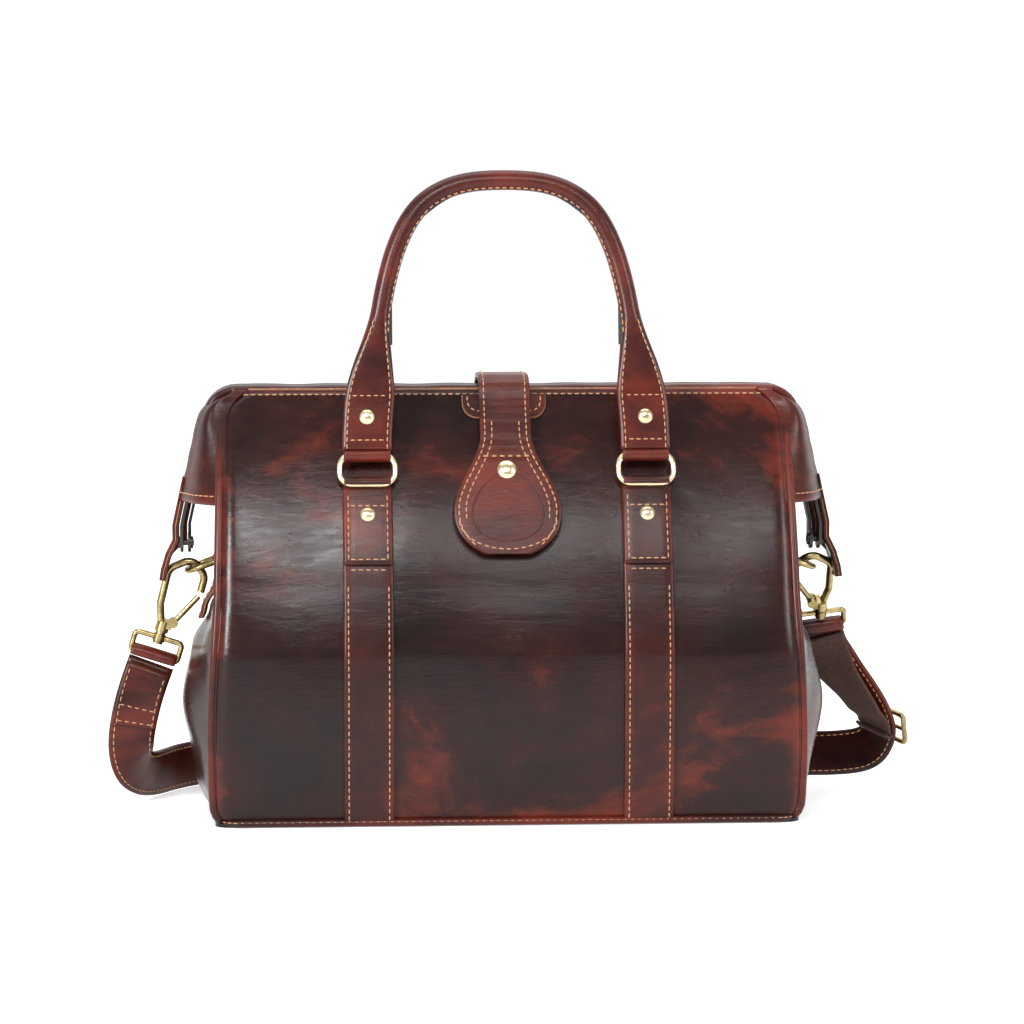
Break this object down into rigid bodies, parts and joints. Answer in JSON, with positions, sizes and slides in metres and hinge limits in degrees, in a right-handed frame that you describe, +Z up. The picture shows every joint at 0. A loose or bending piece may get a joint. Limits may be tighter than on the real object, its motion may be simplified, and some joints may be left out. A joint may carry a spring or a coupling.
{
  "type": "doctor bag",
  "caption": "Leather doctor bag that opens on a hinged steel frame, with two handles on rings, a snap flap and a clip-on shoulder strap.",
  "frame": {"origin": "centre of the base, on the surface the bag stands on", "axes": "+Z up, front of the bag (the snap flap) towards -Y, +X to the right seen from the front"},
  "size_m": [0.5495, 0.265, 0.4228],
  "materials": {
    "body_leather": "glossy pull-up leather, near-black oxblood with red-brown where it creases",
    "strap_leather": "glossy oxblood leather with tan stitching and raw edges",
    "rings_brass": "satin brass",
    "antique_brass": "antique brass with darker recesses",
    "frame_steel": "plain spring steel strip",
    "lining_fabric": "dark brown cotton twill",
    "base_board": "pressed fibre board",
    "handle_core": "solid rope core"
  },
  "bodies": {
    "root": {"base_panel": "body_leather", "base_welt": "body_leather", "base_board": "base_board", "front_panel_lower": "body_leather", "rear_panel_lower": "body_leather", "left_gusset": "body_leather", "right_gusset": "body_leather", "lining": "lining_fabric", "front_strap_lower_left": "strap_leather", "front_strap_lower_right": "strap_leather", "rear_strap_lower_left": "strap_leather", "rear_strap_lower_right": "strap_leather", "left_side_tab": "body_leather", "right_side_tab": "body_leather", "shoulder_strap": "strap_leather", "strap_slider": "antique_brass", "left_swivel_ring": "antique_brass", "right_swivel_ring": "antique_brass"},
    "front_jaw": {"front_panel_upper": "body_leather", "front_gusset_folds": "body_leather", "front_frame": "frame_steel", "front_top_binding": "body_leather", "front_sleeve_left": "body_leather", "front_sleeve_right": "body_leather", "front_strap_upper_left": "strap_leather", "front_strap_upper_right": "strap_leather", "front_strap_rivets": "rings_brass", "front_tab": "strap_leather", "snap_catch": "rings_brass"},
    "rear_jaw": {"rear_panel_upper": "body_leather", "rear_gusset_folds": "body_leather", "rear_frame": "frame_steel", "rear_top_binding": "body_leather", "rear_sleeve_left": "body_leather", "rear_sleeve_right": "body_leather", "rear_strap_upper_left": "strap_leather", "rear_strap_upper_right": "strap_leather", "rear_strap_rivets": "rings_brass", "hinge_pins": "frame_steel", "flap_anchor": "strap_leather"},
    "flap_bridge": {"flap_strap": "strap_leather"},
    "flap_end": {"flap_tongue": "strap_leather", "flap_snap": "rings_brass"},
    "front_ring_pair": {"front_rings": "rings_brass"},
    "front_handle": {"front_handle": "strap_leather", "front_handle_core": "handle_core", "front_handle_rivets": "rings_brass"},
    "rear_ring_pair": {"rear_rings": "rings_brass"},
    "rear_handle": {"rear_handle": "strap_leather", "rear_handle_core": "handle_core", "rear_handle_rivets": "rings_brass"},
    "left_dring": {"left_dring": "antique_brass"},
    "right_dring": {"right_dring": "antique_brass"},
    "left_hook": {"left_hook_body": "antique_brass", "left_gate_pin": "antique_brass"},
    "left_gate": {"left_hook_gate": "antique_brass"},
    "right_hook": {"right_hook_body": "antique_brass", "right_gate_pin": "antique_brass"},
    "right_gate": {"right_hook_gate": "antique_brass"}
  },
  "joints": [
    {"name": "front_jaw_open", "type": "hinge", "parent": "root", "child": "front_jaw", "pos_m": [0, 0, 0.178], "axis": [1, 0, 0], "range_deg": [0, 36], "deforming": ["flap_strap", "flap_tongue", "flap_snap"]},
    {"name": "rear_jaw_open", "type": "hinge", "parent": "root", "child": "rear_jaw", "pos_m": [0, 0, 0.178], "axis": [1, 0, 0], "range_deg": [-36, 0], "deforming": ["flap_strap", "flap_tongue", "flap_snap"]},
    {"name": "flap_bridge_lift", "type": "hinge", "parent": "rear_jaw", "child": "flap_bridge", "pos_m": [0, 0.023, 0.2885], "axis": [-1, 0, 0], "range_deg": [0, 144]},
    {"name": "flap_lift", "type": "hinge", "parent": "flap_bridge", "child": "flap_end", "pos_m": [0, -0.023, 0.2885], "axis": [-1, 0, 0], "range_deg": [0, 95]},
    {"name": "front_ring_tilt", "type": "hinge", "parent": "front_jaw", "child": "front_ring_pair", "pos_m": [0, -0.06202, 0.221], "axis": [1, 0, 0], "range_deg": [0, 40]},
    {"name": "front_handle_swing", "type": "hinge", "parent": "front_ring_pair", "child": "front_handle", "pos_m": [0, -0.05518, 0.23979], "axis": [1, 0, 0], "range_deg": [0, 80]},
    {"name": "rear_ring_tilt", "type": "hinge", "parent": "rear_jaw", "child": "rear_ring_pair", "pos_m": [0, 0.06202, 0.221], "axis": [1, 0, 0], "range_deg": [0, 36]},
    {"name": "rear_handle_swing", "type": "hinge", "parent": "rear_ring_pair", "child": "rear_handle", "pos_m": [0, 0.07641, 0.20711], "axis": [1, 0, 0], "range_deg": [0, 100]},
    {"name": "left_dring_swing", "type": "hinge", "parent": "root", "child": "left_dring", "pos_m": [-0.189, 0, 0.167], "axis": [0, -1, 0], "range_deg": [0, 15]},
    {"name": "left_hook_swivel", "type": "hinge", "parent": "root", "child": "left_hook", "pos_m": [-0.22864, 0, 0.11451], "axis": [0.3021, 0, 0.9533], "range_deg": [-25, 12]},
    {"name": "left_gate_open", "type": "hinge", "parent": "left_hook", "child": "left_gate", "pos_m": [-0.2193, 0, 0.12413], "axis": [0, -1, 0], "range_deg": [0, 25], "stiffness_Nm_per_rad": 0.05, "springref_deg": -11.46},
    {"name": "right_dring_swing", "type": "hinge", "parent": "root", "child": "right_dring", "pos_m": [0.189, 0, 0.167], "axis": [0, 1, 0], "range_deg": [0, 15]},
    {"name": "right_hook_swivel", "type": "hinge", "parent": "root", "child": "right_hook", "pos_m": [0.21913, 0.02786, 0.12506], "axis": [-0.0999, -0.6191, 0.7789], "range_deg": [-25, 12]},
    {"name": "right_gate_open", "type": "hinge", "parent": "right_hook", "child": "right_gate", "pos_m": [0.21198, 0.02043, 0.13364], "axis": [-0.0787, 0.7853, 0.6141], "range_deg": [0, 25], "stiffness_Nm_per_rad": 0.05, "springref_deg": -11.46}
  ],
  "couplings": [
    {"joint": "rear_jaw_open", "follows": "front_jaw_open", "ratio": -1},
    {"joint": "flap_bridge_lift", "follows": "front_jaw_open", "ratio": 4},
    {"joint": "rear_ring_tilt", "follows": "front_jaw_open", "ratio": 1},
    {"joint": "front_ring_tilt", "follows": "front_handle_swing", "ratio": 0.5}
  ]
}
